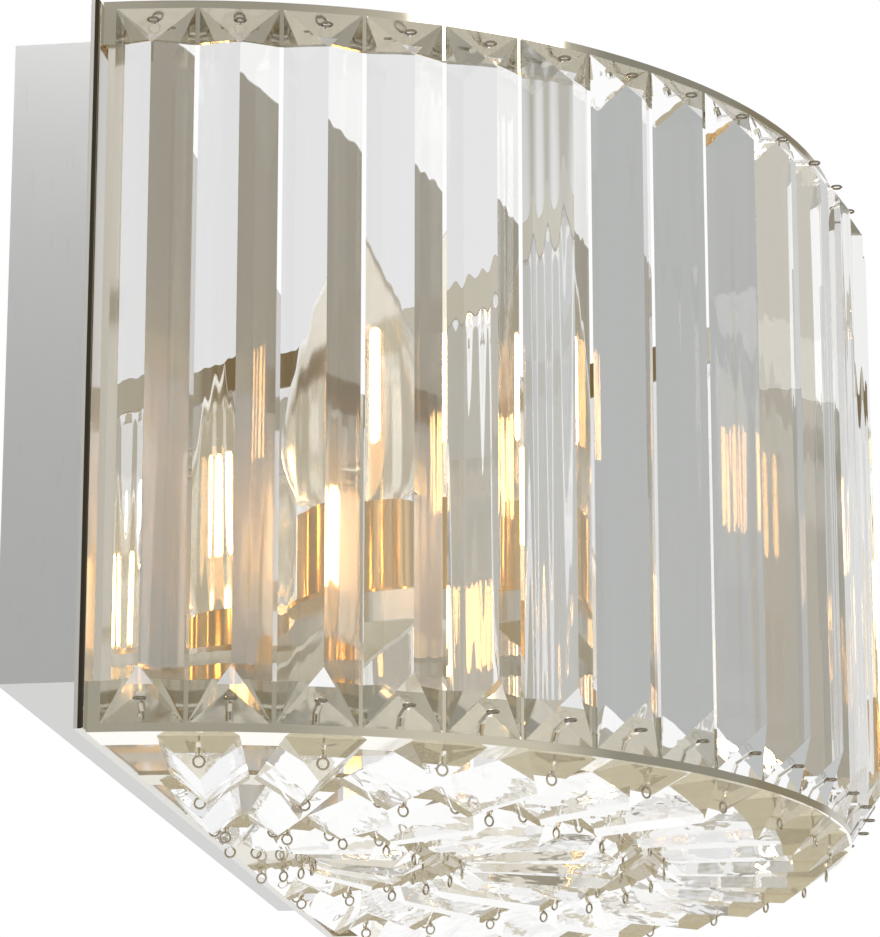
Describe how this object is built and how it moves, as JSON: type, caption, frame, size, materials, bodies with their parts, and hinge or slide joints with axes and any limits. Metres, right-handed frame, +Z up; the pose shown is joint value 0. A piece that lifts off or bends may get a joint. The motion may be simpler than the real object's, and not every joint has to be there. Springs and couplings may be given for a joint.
{
  "type": "crystal wall sconce",
  "caption": "Half-round wall light of upright triangular glass bars on polished bands, a half-sunburst of glass bars beneath and candle bulbs inside.",
  "frame": {"origin": "middle of the back box's rim on the wall", "axes": "+X along the wall, +Y into the wall, +Z up; the drum stands out towards -Y"},
  "size_m": [0.3898, 0.2127, 0.2034],
  "materials": {
    "crystal": "polished clear optical glass",
    "bulb_glass": "lit clear candle bulb",
    "satin_nickel": "brushed nickel plate",
    "mirror_nickel": "mirror-polished nickel plate",
    "polished_nickel": "polished nickel plate",
    "rubber": "matt",
    "terminal_plastic": "moulded",
    "holder_plastic": "moulded",
    "zinc_steel": "bright zinc plate",
    "brass": "plain",
    "wire": "drawn wire, nickel plated"
  },
  "bodies": {
    "sconce": {"back_box": "satin_nickel", "back_plate": "mirror_nickel", "bottom_band": "polished_nickel", "cable_grommet": "rubber", "candle_cup_left": "polished_nickel", "candle_cup_middle": "polished_nickel", "candle_cup_right": "polished_nickel", "drum_bar_01": "crystal", "drum_bar_02": "crystal", "drum_bar_03": "crystal", "drum_bar_04": "crystal", "drum_bar_05": "crystal", "drum_bar_06": "crystal", "drum_bar_07": "crystal", "drum_bar_08": "crystal", "drum_bar_09": "crystal", "drum_bar_10": "crystal", "drum_bar_11": "crystal", "drum_bar_12": "crystal", "drum_bar_13": "crystal", "drum_bar_14": "crystal", "drum_bar_15": "crystal", "drum_bar_16": "crystal", "drum_bar_17": "crystal", "drum_bar_18": "crystal", "drum_bar_19": "crystal", "drum_bar_20": "crystal", "drum_bar_21": "crystal", "drum_bar_22": "crystal", "drum_bar_23": "crystal", "drum_bar_24": "crystal", "drum_bar_25": "crystal", "drum_bar_26": "crystal", "earth_terminal": "brass", "end_strip_left": "polished_nickel", "end_strip_right": "polished_nickel", "fan_pins": "wire", "fixing_nuts": "polished_nickel", "hub_plate": "polished_nickel", "inner_fan_bars": "crystal", "inner_ring": "polished_nickel", "lamp_rail": "polished_nickel", "lampholder_left": "holder_plastic", "lampholder_middle": "holder_plastic", "lampholder_right": "holder_plastic", "lower_drum_pins": "wire", "middle_fan_bars": "crystal", "middle_ring": "polished_nickel", "mounting_bracket": "zinc_steel", "mounting_studs": "zinc_steel", "outer_fan_bars": "crystal", "spokes": "polished_nickel", "terminal_block": "terminal_plastic", "top_band": "polished_nickel", "upper_drum_pins": "wire"},
    "bulb_left": {"bulb_left": "bulb_glass"},
    "bulb_middle": {"bulb_middle": "bulb_glass"},
    "bulb_right": {"bulb_right": "bulb_glass"}
  },
  "joints": [
    {"name": "bulb_left_turn", "type": "hinge", "parent": "sconce", "child": "bulb_left", "pos_m": [-0.12, -0.1045, -0.05], "axis": [0, 0, 1], "continuous": true},
    {"name": "bulb_middle_turn", "type": "hinge", "parent": "sconce", "child": "bulb_middle", "pos_m": [0, -0.1045, -0.05], "axis": [0, 0, 1], "continuous": true},
    {"name": "bulb_right_turn", "type": "hinge", "parent": "sconce", "child": "bulb_right", "pos_m": [0.12, -0.1045, -0.05], "axis": [0, 0, 1], "continuous": true}
  ]
}
